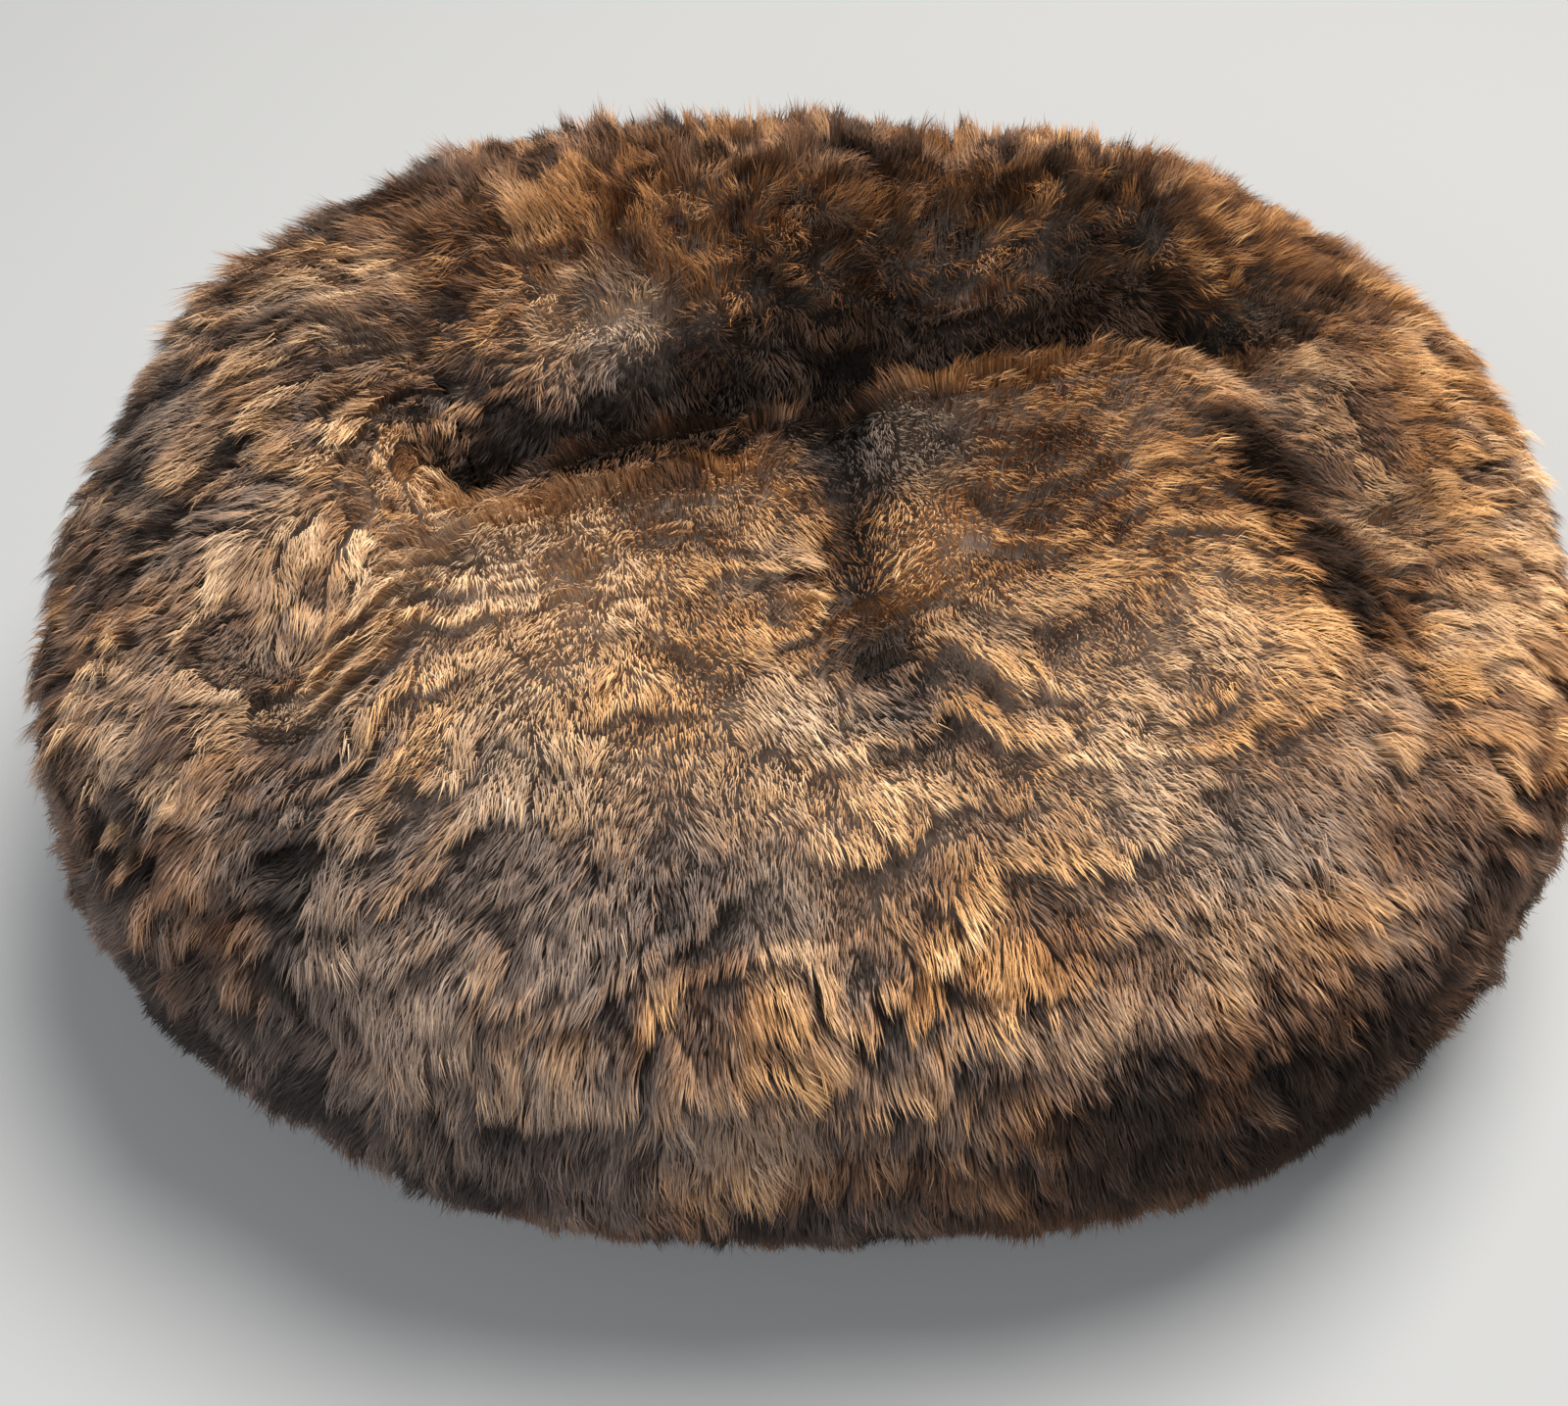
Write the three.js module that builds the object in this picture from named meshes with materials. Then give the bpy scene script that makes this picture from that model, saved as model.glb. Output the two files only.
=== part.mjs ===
// A soft, puffy fur hat that rests on its own turned-under rim with the head opening down.
// Millimetres, +Z up. X runs along the crown's length (the wearer's front to back), Y across it.
// The origin is at the middle of the resting rim. Every wall is the pelt's skin together with the
// standing pile: the outer face is the form of the fur, the inner face is the bare skin side.
import * as THREE from "three";

// ---- Driving dimensions ----
const LENGTH = 300; // over the fur, along X
const DEPTH = 246; // over the fur, along Y
const HEIGHT = 118; // resting rim to the dome that the folds are pressed into
const OVAL_POWER = 2.38; // 2 is an ellipse, more is squarer at the corners
const CROWN_POWER = 3.0; // the same for the dome's upright section
const BULGE_HEIGHT = 44; // height of the widest section
const RIM_SHARE = 0.82; // outline of the resting rim, as a share of the widest outline
const WALL = 16; // skin and pile
const HEAD_LENGTH = 200; // head opening, a circumference of about 57 cm
const HEAD_WIDTH = 164;
const HEAD_POWER = 2.1;
const BAND_TOP = 74; // height of the seam between side band and crown
const SEAM_GAP = 0.4; // between sewn panels

// Ends of the lengthwise crease, in plan. It lies a little askew across the crown.
const CREASE = { left: { x: -60, y: -1 }, right: { x: 73, y: 36 } };

// Crown panels: the sector of outline that each one covers, in degrees counterclockwise from +X,
// the crease ends that its inner edge runs between, the facets across it, and its colour.
const PANELS = [
  { name: "crown_near", fromDeg: 231, toDeg: 327, footFrom: "left", footTo: "right", columns: 22, colour: 0xa06f42 },
  { name: "crown_right", fromDeg: 327, toDeg: 398, footFrom: "right", footTo: "right", columns: 15, colour: 0x9b6b40 },
  { name: "crown_far", fromDeg: 38, toDeg: 142, footFrom: "right", footTo: "left", columns: 22, colour: 0x4b2f20 },
  { name: "crown_left", fromDeg: 142, toDeg: 231, footFrom: "left", footTo: "left", columns: 17, colour: 0x7a614c },
];
const BAND_COLOUR = 0x46362c;

// Folds pressed into the crown: valleys along a plan segment, with the depth at each end, the half
// width, and a sharpness of 1 (a V) to 2 (a smooth hollow). A negative depth is a swelling.
const FOLDS = [
  { name: "crease", x0: -60, y0: -1, x1: 73, y1: 36, depth0: 20, depth1: 18, halfWidth: 10, sharp: 1.15 },
  { name: "crease_fore_fold", x0: -64, y0: -20, x1: -18, y1: -7, depth0: 6, depth1: 5, halfWidth: 5, sharp: 1.5 },
  { name: "crease_back_fold", x0: 20, y0: 37, x1: 62, y1: 52, depth0: 5, depth1: 5, halfWidth: 6, sharp: 1.6 },
  { name: "near_valley_upper", x0: 3, y0: 14, x1: 8, y1: -34, depth0: 7, depth1: 7, halfWidth: 9, sharp: 1.4 },
  { name: "near_valley_lower", x0: 8, y0: -34, x1: 14, y1: -70, depth0: 6, depth1: 2, halfWidth: 11, sharp: 1.6 },
  { name: "left_parting_upper", x0: -60, y0: -1, x1: -86, y1: -44, depth0: 6, depth1: 6, halfWidth: 10, sharp: 1.4 },
  { name: "left_parting_lower", x0: -86, y0: -44, x1: -79, y1: -97, depth0: 6, depth1: 4, halfWidth: 10, sharp: 1.4 },
  { name: "right_valley_upper", x0: 73, y0: 36, x1: 98, y1: -4, depth0: 7, depth1: 7, halfWidth: 11, sharp: 1.5 },
  { name: "right_valley_lower", x0: 98, y0: -4, x1: 112, y1: -62, depth0: 7, depth1: 3, halfWidth: 12, sharp: 1.6 },
  { name: "far_dip", x0: 22, y0: 43, x1: 28, y1: 92, depth0: 4, depth1: 5, halfWidth: 11, sharp: 1.8 },
  { name: "far_left_parting", x0: -60, y0: -1, x1: -96, y1: 60, depth0: 5, depth1: 3, halfWidth: 13, sharp: 1.6 },
  { name: "far_right_parting", x0: 73, y0: 36, x1: 106, y1: 62, depth0: 5, depth1: 3, halfWidth: 12, sharp: 1.6 },
  { name: "near_left_swell", x0: -42, y0: -62, x1: -26, y1: -66, depth0: -3, depth1: -3, halfWidth: 26, sharp: 2 },
  { name: "near_right_swell", x0: 44, y0: -50, x1: 66, y1: -46, depth0: -3, depth1: -3, halfWidth: 26, sharp: 2 },
  { name: "far_left_swell", x0: -40, y0: 56, x1: -16, y1: 62, depth0: -3, depth1: -3, halfWidth: 22, sharp: 2 },
  { name: "far_right_swell", x0: 52, y0: 74, x1: 74, y1: 70, depth0: -3, depth1: -3, halfWidth: 18, sharp: 2 },
];

// Soft dents in the upright side: where round the outline, how wide and how deep.
const SIDE_DENTS = [
  { name: "left_parting_foot", deg: 229, halfWidthDeg: 9, depth: 3.0 },
  { name: "right_valley_foot", deg: 326, halfWidthDeg: 10, depth: 2.5 },
  { name: "left_end_dent", deg: 168, halfWidthDeg: 8, depth: 2.5 },
  { name: "near_side_dent", deg: 281, halfWidthDeg: 12, depth: 1.5 },
  { name: "far_left_foot", deg: 141, halfWidthDeg: 9, depth: 2.0 },
  { name: "far_side_dent", deg: 78, halfWidthDeg: 10, depth: 2.0 },
  { name: "far_right_foot", deg: 37, halfWidthDeg: 9, depth: 2.0 },
];

// Facets down each stretch of the wall.
const CROWN_ROWS = 13;
const BAND_UPPER_ROWS = 3;
const BAND_LOWER_ROWS = 5;
const INNER_LOWER_ROWS = 4;

// ---- Form ----
const radians = (deg) => (deg * Math.PI) / 180;
const mix = (a, b, t) => a + (b - a) * t;
const smooth = (lo, hi, x) => {
  const t = Math.min(1, Math.max(0, (x - lo) / (hi - lo)));
  return t * t * (3 - 2 * t);
};

// Radius of a squarish oval with half axes a and b in the direction of an angle.
function ovalRadius(a, b, power, angle) {
  const c = Math.abs(Math.cos(angle)) / a;
  const s = Math.abs(Math.sin(angle)) / b;
  return Math.pow(Math.pow(c, power) + Math.pow(s, power), -1 / power);
}

function sideDent(deg) {
  let sum = 0;
  for (const d of SIDE_DENTS) {
    const away = ((deg - d.deg + 540) % 360) - 180;
    sum += d.depth * Math.exp(-((away / d.halfWidthDeg) ** 2));
  }
  return sum;
}

// The widest outline, or the inner one a wall's thickness inside it.
function outline(deg, inset) {
  const angle = radians(deg);
  const r = ovalRadius(LENGTH / 2 - inset, DEPTH / 2 - inset, OVAL_POWER, angle) - sideDent(deg);
  return { x: r * Math.cos(angle), y: r * Math.sin(angle) };
}

// How far the folds press the crown down at a plan point. The skin side follows them more softly.
function foldDepth(x, y, inset) {
  let sum = 0;
  for (const f of FOLDS) {
    const dx = f.x1 - f.x0;
    const dy = f.y1 - f.y0;
    const along = ((x - f.x0) * dx + (y - f.y0) * dy) / (dx * dx + dy * dy);
    const t = Math.min(1, Math.max(0, along));
    const away = Math.hypot(x - f.x0 - t * dx, y - f.y0 - t * dy);
    const halfWidth = f.halfWidth + 0.35 * inset;
    const share = inset > 0 ? f.halfWidth / halfWidth : 1;
    sum += mix(f.depth0, f.depth1, t) * Math.pow(share, 0.5) * Math.exp(-Math.pow(away / halfWidth, f.sharp));
  }
  return sum;
}

// Height of the crown over a plan point, for the fur's face (inset 0) or the skin side.
function crownHeight(x, y, inset, dent) {
  const a = LENGTH / 2 - inset;
  const b = DEPTH / 2 - inset;
  const plain = Math.pow(Math.pow(Math.abs(x) / a, OVAL_POWER) + Math.pow(Math.abs(y) / b, OVAL_POWER), 1 / OVAL_POWER);
  const reach = plain > 1e-6 ? Math.hypot(x, y) / plain : a;
  const share = plain / (1 - (dent / reach) * smooth(0.55, 0.97, plain)); // the side's dents die out towards the crease
  const rise = HEIGHT - inset - BULGE_HEIGHT;
  const dome = Math.pow(Math.max(0, 1 - Math.pow(share, CROWN_POWER)), 1 / CROWN_POWER);
  const fade = 1 - smooth(0.84, 0.99, share);
  return BULGE_HEIGHT + rise * dome - fade * foldDepth(x, y, inset);
}

// The point on the crease that a line from the outline runs in to.
function crownFoot(panel, deg) {
  const t = (deg - panel.fromDeg) / (panel.toDeg - panel.fromDeg);
  const from = CREASE[panel.footFrom];
  const to = CREASE[panel.footTo];
  return { x: mix(from.x, to.x, t), y: mix(from.y, to.y, t) };
}

// A point of the crown on the line from the crease (t = 0) to the widest outline (t = 1).
function crownPoint(panel, deg, t, inset) {
  const foot = crownFoot(panel, deg);
  const edge = outline(deg, inset);
  const g = 1 - Math.pow(1 - t, CROWN_POWER * 0.8);
  const x = mix(foot.x, edge.x, g);
  const y = mix(foot.y, edge.y, g);
  return new THREE.Vector3(x, y, crownHeight(x, y, inset, sideDent(deg)));
}

// The t at which that line comes down to a height.
function reachHeight(panel, deg, inset, height) {
  let lo = 0.35;
  let hi = 1;
  for (let k = 0; k < 40; k++) {
    const mid = (lo + hi) / 2;
    if (crownPoint(panel, deg, mid, inset).z > height) lo = mid;
    else hi = mid;
  }
  return (lo + hi) / 2;
}

// Closed mesh from triangles of points: shared corners are joined, empty triangles dropped.
function closedMesh(name, colour, triangles) {
  const index = new Map();
  const points = [];
  const ids = [];
  const idOf = (p) => {
    const key = [p.x, p.y, p.z].map((v) => Math.round(v * 1e3)).join(",");
    if (!index.has(key)) {
      index.set(key, points.length);
      points.push(p);
    }
    return index.get(key);
  };
  let volume = 0;
  for (const [a, b, c] of triangles) {
    const t = [idOf(a), idOf(b), idOf(c)];
    if (t[0] === t[1] || t[1] === t[2] || t[0] === t[2]) continue;
    ids.push(t);
    volume += a.dot(b.clone().cross(c));
  }
  if (volume < 0) ids.forEach((t) => t.reverse());
  const geometry = new THREE.BufferGeometry();
  geometry.setAttribute("position", new THREE.Float32BufferAttribute(points.flatMap((p) => [p.x, p.y, p.z]), 3));
  geometry.setIndex(ids.flat());
  geometry.computeVertexNormals();
  const mesh = new THREE.Mesh(geometry, new THREE.MeshStandardMaterial({ color: colour, roughness: 0.95, metalness: 0 }));
  mesh.name = name;
  return mesh;
}

const quad = (out, a, b, c, d) => out.push([a, b, c], [a, c, d]);

// A curved wall from its outer and inner grids of points, closed round its four edges.
function wallTriangles(outer, inner) {
  const out = [];
  const rows = outer.length - 1;
  const cols = outer[0].length - 1;
  for (let i = 0; i < rows; i++)
    for (let j = 0; j < cols; j++) {
      quad(out, outer[i][j], outer[i + 1][j], outer[i + 1][j + 1], outer[i][j + 1]);
      quad(out, inner[i][j], inner[i][j + 1], inner[i + 1][j + 1], inner[i + 1][j]);
    }
  for (let i = 0; i < rows; i++) {
    quad(out, outer[i][0], inner[i][0], inner[i + 1][0], outer[i + 1][0]);
    quad(out, outer[i][cols], outer[i + 1][cols], inner[i + 1][cols], inner[i][cols]);
  }
  for (let j = 0; j < cols; j++) {
    quad(out, inner[0][j], outer[0][j], outer[0][j + 1], inner[0][j + 1]);
    quad(out, outer[rows][j], inner[rows][j], inner[rows][j + 1], outer[rows][j + 1]);
  }
  return out;
}

// One face of a crown panel, with half a seam's gap taken off its edges.
function crownGrid(panel, inset) {
  const half = SEAM_GAP / 2;
  const pointed = panel.footFrom === panel.footTo;
  const grid = [];
  for (let i = 0; i <= CROWN_ROWS; i++) {
    const row = [];
    for (let j = 0; j <= panel.columns; j++) {
      const deg = mix(panel.fromDeg, panel.toDeg, j / panel.columns);
      const last = reachHeight(panel, deg, inset, BAND_TOP + half);
      const p = crownPoint(panel, deg, (last * i) / CROWN_ROWS, inset);
      const foot = crownFoot(panel, deg);
      const edge = outline(deg, inset);
      const reach = Math.hypot(edge.x - foot.x, edge.y - foot.y);
      const out = { x: (edge.x - foot.x) / reach, y: (edge.y - foot.y) / reach };
      let x = p.x;
      let y = p.y;
      if (pointed && i === 0) {
        const mid = outline((panel.fromDeg + panel.toDeg) / 2, inset);
        const away = Math.hypot(mid.x - foot.x, mid.y - foot.y);
        x += (2 * half * (mid.x - foot.x)) / away;
        y += (2 * half * (mid.y - foot.y)) / away;
      } else {
        const turn = j === 0 ? half : j === panel.columns ? -half : 0;
        x += -out.y * turn;
        y += out.x * turn;
        if (i === 0) {
          const run = { x: CREASE.right.x - CREASE.left.x, y: CREASE.right.y - CREASE.left.y };
          const side = panel.name === "crown_near" ? 1 : -1;
          const length = Math.hypot(run.x, run.y);
          x += (run.y / length) * half * side;
          y += (-run.x / length) * half * side;
        }
      }
      const dent = pointed && i === 0 ? 0 : sideDent(deg);
      const z = i === CROWN_ROWS ? BAND_TOP + half : crownHeight(x, y, inset, dent);
      row.push(new THREE.Vector3(x, y, z));
    }
    grid.push(row);
  }
  return grid;
}

// The side band's closed section at an angle: down the fur, under the rim, up the skin side.
function bandSection(panel, deg) {
  const angle = radians(deg);
  const c = Math.cos(angle);
  const s = Math.sin(angle);
  const section = [];
  const top = BAND_TOP - SEAM_GAP / 2;
  const outerTop = reachHeight(panel, deg, 0, top);
  for (let i = 0; i < BAND_UPPER_ROWS; i++) {
    const p = crownPoint(panel, deg, mix(outerTop, 1, i / BAND_UPPER_ROWS), 0);
    section.push(new THREE.Vector3(p.x, p.y, i === 0 ? top : p.z));
  }
  const wide = outline(deg, 0);
  for (let i = 0; i <= BAND_LOWER_ROWS; i++) {
    const turn = radians((90 * i) / BAND_LOWER_ROWS);
    const share = mix(RIM_SHARE, 1, Math.cos(turn));
    const z = i === BAND_LOWER_ROWS ? 0 : BULGE_HEIGHT * (1 - Math.sin(turn));
    section.push(new THREE.Vector3(wide.x * share, wide.y * share, z));
  }
  const mouth = ovalRadius(HEAD_LENGTH / 2, HEAD_WIDTH / 2, HEAD_POWER, angle);
  const inside = outline(deg, WALL);
  for (let i = 0; i <= INNER_LOWER_ROWS; i++) {
    const t = i / INNER_LOWER_ROWS;
    const share = Math.sin((t * Math.PI) / 2);
    section.push(new THREE.Vector3(mix(mouth * c, inside.x, share), mix(mouth * s, inside.y, share), BULGE_HEIGHT * t));
  }
  const innerTop = reachHeight(panel, deg, WALL, top);
  for (let i = 1; i <= BAND_UPPER_ROWS; i++) {
    const p = crownPoint(panel, deg, mix(1, innerTop, i / BAND_UPPER_ROWS), WALL);
    section.push(new THREE.Vector3(p.x, p.y, i === BAND_UPPER_ROWS ? top : p.z));
  }
  return section;
}

function bandTriangles() {
  const sections = [];
  for (const panel of PANELS)
    for (let j = 0; j < panel.columns; j++) sections.push(bandSection(panel, mix(panel.fromDeg, panel.toDeg, j / panel.columns)));
  const out = [];
  sections.forEach((here, k) => {
    const next = sections[(k + 1) % sections.length];
    here.forEach((p, i) => {
      const m = (i + 1) % here.length;
      quad(out, p, here[m], next[m], next[i]);
    });
  });
  return out;
}

// ---- Assembly ----
const hat = new THREE.Group();
hat.name = "fur_hat";
for (const panel of PANELS)
  hat.add(closedMesh(panel.name, panel.colour, wallTriangles(crownGrid(panel, 0), crownGrid(panel, WALL))));
hat.add(closedMesh("side_band", BAND_COLOUR, bandTriangles()));

export default hat;
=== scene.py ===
import math

import bpy
import numpy as np
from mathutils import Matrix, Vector


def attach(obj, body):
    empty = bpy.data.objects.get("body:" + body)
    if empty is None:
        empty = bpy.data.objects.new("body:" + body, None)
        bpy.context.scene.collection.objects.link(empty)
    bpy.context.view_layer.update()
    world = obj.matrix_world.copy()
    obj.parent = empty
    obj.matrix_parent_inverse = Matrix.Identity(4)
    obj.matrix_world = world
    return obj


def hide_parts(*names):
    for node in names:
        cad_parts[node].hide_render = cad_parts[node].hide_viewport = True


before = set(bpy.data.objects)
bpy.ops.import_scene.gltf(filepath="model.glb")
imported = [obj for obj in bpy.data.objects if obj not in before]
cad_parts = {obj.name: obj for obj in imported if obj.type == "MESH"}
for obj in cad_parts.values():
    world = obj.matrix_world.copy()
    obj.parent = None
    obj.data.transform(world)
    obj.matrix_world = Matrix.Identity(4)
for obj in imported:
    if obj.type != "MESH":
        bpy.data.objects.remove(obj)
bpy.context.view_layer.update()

# A soft fur hat. Everything below is worked out in millimetres in the frame of the model, and
# scaled to metres when a mesh is made.
MM = 0.001

# ---------------------------------------------------------------- form of the hat
LENGTH, DEPTH, HEIGHT = 300.0, 246.0, 118.0
OVAL_POWER, CROWN_POWER = 2.38, 3.0
BULGE_HEIGHT, RIM_SHARE, WALL = 44.0, 0.82, 16.0
HEAD_LENGTH, HEAD_WIDTH, HEAD_POWER = 200.0, 164.0, 2.1
BAND_TOP = 74.0
PILE = 7.0           # depth of the loose pile over the dense underfur
CREASE = {"left": (-60.0, -1.0), "right": (73.0, 36.0)}

# panel: sector of the outline in degrees, and the crease ends its inner edge runs between
PANELS = {
    "crown_near": (231.0, 327.0, "left", "right"),
    "crown_right": (327.0, 398.0, "right", "right"),
    "crown_far": (38.0, 142.0, "right", "left"),
    "crown_left": (142.0, 231.0, "left", "left"),
}

# fold: x0, y0, x1, y1, depth0, depth1, half width, sharpness
FOLDS = [
    (-60, -1, 73, 36, 20, 18, 6.5, 1.4),      # crease, nearly closed by the pile on both sides
    (-64, -20, -18, -7, 6, 5, 5, 1.5),       # small fold in front of the crease
    (20, 37, 62, 52, 5, 5, 6, 1.6),           # small fold behind it
    (3, 14, 8, -34, 7, 7, 9, 1.4),             # valley down the near side
    (8, -34, 14, -70, 6, 2, 11, 1.6),
    (-60, -1, -86, -44, 6, 6, 10, 1.4),       # left parting
    (-86, -44, -79, -97, 6, 4, 10, 1.4),
    (73, 36, 98, -4, 7, 7, 11, 1.5),        # right valley
    (98, -4, 112, -62, 7, 3, 12, 1.6),
    (22, 43, 28, 92, 4, 5, 11, 1.8),          # dip in the far side
    (-60, -1, -96, 60, 5, 3, 13, 1.6),
    (73, 36, 106, 62, 5, 3, 12, 1.6),
    (-42, -62, -26, -66, -3, -3, 26, 2),      # swellings
    (44, -50, 66, -46, -3, -3, 26, 2),
    (-40, 56, -16, 62, -3, -3, 22, 2),
    (52, 74, 74, 70, -3, -3, 18, 2),
]
# dent in the upright side: degrees, half width in degrees, depth
SIDE_DENTS = [(229, 9, 3.0), (326, 10, 2.5), (168, 8, 2.5), (281, 12, 1.5), (141, 9, 2.0), (78, 10, 2.0), (37, 9, 2.0)]


def smooth(lo, hi, x):
    t = np.clip((x - lo) / (hi - lo), 0.0, 1.0)
    return t * t * (3 - 2 * t)


def oval_radius(a, b, power, angle):
    return ((np.abs(np.cos(angle)) / a) ** power + (np.abs(np.sin(angle)) / b) ** power) ** (-1 / power)


def side_dent(deg):
    total = np.zeros_like(deg)
    for at, wide, depth in SIDE_DENTS:
        away = (deg - at + 540) % 360 - 180
        total += depth * np.exp(-((away / wide) ** 2))
    return total


def outline(deg, inset):
    angle = np.radians(deg)
    r = oval_radius(LENGTH / 2 - inset, DEPTH / 2 - inset, OVAL_POWER, angle) - side_dent(deg)
    return r * np.cos(angle), r * np.sin(angle)


def fold_depth(x, y, inset):
    total = np.zeros_like(x)
    for x0, y0, x1, y1, d0, d1, half, sharp in FOLDS:
        dx, dy = x1 - x0, y1 - y0
        t = np.clip(((x - x0) * dx + (y - y0) * dy) / (dx * dx + dy * dy), 0, 1)
        away = np.hypot(x - x0 - t * dx, y - y0 - t * dy)
        wide = half + 0.35 * inset
        total += (d0 + (d1 - d0) * t) * (half / wide) ** 0.5 * np.exp(-((away / wide) ** sharp))
    return total


def crown_height(x, y, inset, dent):
    a, b = LENGTH / 2 - inset, DEPTH / 2 - inset

    plain = np.maximum(((np.abs(x) / a) ** OVAL_POWER + (np.abs(y) / b) ** OVAL_POWER) ** (1 / OVAL_POWER), 1e-6)
    s = plain / (1 - dent * plain / np.maximum(np.hypot(x, y), 1e-6) * smooth(0.55, 0.97, plain))
    dome = np.maximum(0, 1 - s ** CROWN_POWER) ** (1 / CROWN_POWER)
    fade = 1 - smooth(0.84, 0.99, s)
    return BULGE_HEIGHT + (HEIGHT - inset - BULGE_HEIGHT) * dome - fade * fold_depth(x, y, inset)


def crown_xyz(panel, deg, t, inset):
    lo, hi, foot_from, foot_to = PANELS[panel]
    k = (deg - lo) / (hi - lo)
    (ax, ay), (bx, by) = CREASE[foot_from], CREASE[foot_to]
    fx, fy = ax + (bx - ax) * k, ay + (by - ay) * k
    ex, ey = outline(deg, inset)
    g = 1 - (1 - t) ** (CROWN_POWER * 0.8)
    x, y = fx + (ex - fx) * g, fy + (ey - fy) * g
    return np.stack([x, y, crown_height(x, y, inset, side_dent(deg))], -1)


def reach(panel, deg, inset, height):
    lo, hi = np.full_like(deg, 0.35), np.ones_like(deg)
    for _ in range(40):
        mid = (lo + hi) / 2
        above = crown_xyz(panel, deg, mid, inset)[..., 2] > height
        lo, hi = np.where(above, mid, lo), np.where(above, hi, mid)
    return (lo + hi) / 2


def crown_grid(panel, rows, cols, inset):
    """Points of one crown panel, from the crease (row 0) down to the band's seam."""
    lo, hi = PANELS[panel][:2]
    deg = np.linspace(lo, hi, cols + 1)[None, :].repeat(rows + 1, 0)
    last = reach(panel, deg[0], inset, BAND_TOP)[None, :]
    t = np.linspace(0, 1, rows + 1)[:, None] * last
    return crown_xyz(panel, deg, t, inset)


def band_lines(deg, inset, rows_up, rows_low):
    """Points down the side band's outside, from its seam with the crown to the resting rim."""
    out = np.zeros((rows_up + rows_low + 1, len(deg), 3))
    for name, (lo, hi, _, _) in PANELS.items():
        turned = np.where(deg < lo, deg + 360, deg)
        on = (turned >= lo) & (turned < hi)
        d = turned[on]
        first = reach(name, d, inset, BAND_TOP)
        for i in range(rows_up + 1):
            t = first + (1 - first) * i / rows_up
            out[i, on] = crown_xyz(name, d, t, inset)
    wx, wy = outline(deg, inset)
    for i in range(1, rows_low + 1):
        turn = math.pi / 2 * i / rows_low
        k = RIM_SHARE + (1 - RIM_SHARE) * math.cos(turn)
        out[rows_up + i] = np.stack([wx * k, wy * k, np.full_like(wx, BULGE_HEIGHT * (1 - math.sin(turn)))], -1)
    return out


def mouth(deg, grow=0.0):
    a = np.radians(deg)
    r = oval_radius(HEAD_LENGTH / 2, HEAD_WIDTH / 2, HEAD_POWER, a) + grow
    return np.stack([r * np.cos(a), r * np.sin(a)], -1)


# ---------------------------------------------------------------- seeded noise
def hashed(ix, iy, iz, seed):
    n = (ix.astype(np.uint64) * np.uint64(374761393) + iy.astype(np.uint64) * np.uint64(668265263)
         + iz.astype(np.uint64) * np.uint64(2246822519) + np.uint64(seed * 3266489917 & 0xFFFFFFFF)) & np.uint64(0xFFFFFFFF)
    n = ((n ^ (n >> np.uint64(15))) * np.uint64(2246822519)) & np.uint64(0xFFFFFFFF)
    n = ((n ^ (n >> np.uint64(13))) * np.uint64(3266489917)) & np.uint64(0xFFFFFFFF)
    n = n ^ (n >> np.uint64(16))
    return (n & np.uint64(0xFFFFFF)).astype(np.float64) / 16777215.0


def noise(p, size, seed):
    """Smooth noise of about -1 to 1 over points in millimetres; size is its grain."""
    q = p / size + 1000.37
    i = np.floor(q).astype(np.int64)
    f = q - i
    u = f * f * f * (f * (f * 6 - 15) + 10)
    total = 0.0
    for dx in (0, 1):
        wx = u[:, 0] if dx else 1 - u[:, 0]
        for dy in (0, 1):
            wy = u[:, 1] if dy else 1 - u[:, 1]
            for dz in (0, 1):
                wz = u[:, 2] if dz else 1 - u[:, 2]
                total = total + wx * wy * wz * hashed(i[:, 0] + dx, i[:, 1] + dy, i[:, 2] + dz, seed)
    return (total * 2 - 1) * 1.5


def tufts(s, c, size_s, size_c, seed):
    """The nearest of a scatter of tuft centres in the pelt's own plane: offsets to it and three random numbers of it."""
    qs, qc = s / size_s + 500.5, c / size_c + 500.5
    bs, bc = np.floor(qs).astype(np.int64), np.floor(qc).astype(np.int64)
    best = np.full(len(s), 1e9)
    ds, dc, r1, r2, r3 = (np.zeros(len(s)) for _ in range(5))
    zero = np.zeros(len(s), np.int64)
    for i in (-1, 0, 1):
        for j in (-1, 0, 1):
            cs, cc = bs + i, bc + j
            fs, fc = cs + hashed(cs, cc, zero, seed), cc + hashed(cs, cc, zero + 1, seed)
            d = (fs - qs) ** 2 + (fc - qc) ** 2
            near = d < best
            best = np.where(near, d, best)
            ds, dc = np.where(near, (fs - qs) * size_s, ds), np.where(near, (fc - qc) * size_c, dc)
            r1 = np.where(near, hashed(cs, cc, zero + 2, seed), r1)
            r2 = np.where(near, hashed(cs, cc, zero + 3, seed), r2)
            r3 = np.where(near, hashed(cs, cc, zero + 4, seed), r3)
    return ds, dc, r1, r2, r3


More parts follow.
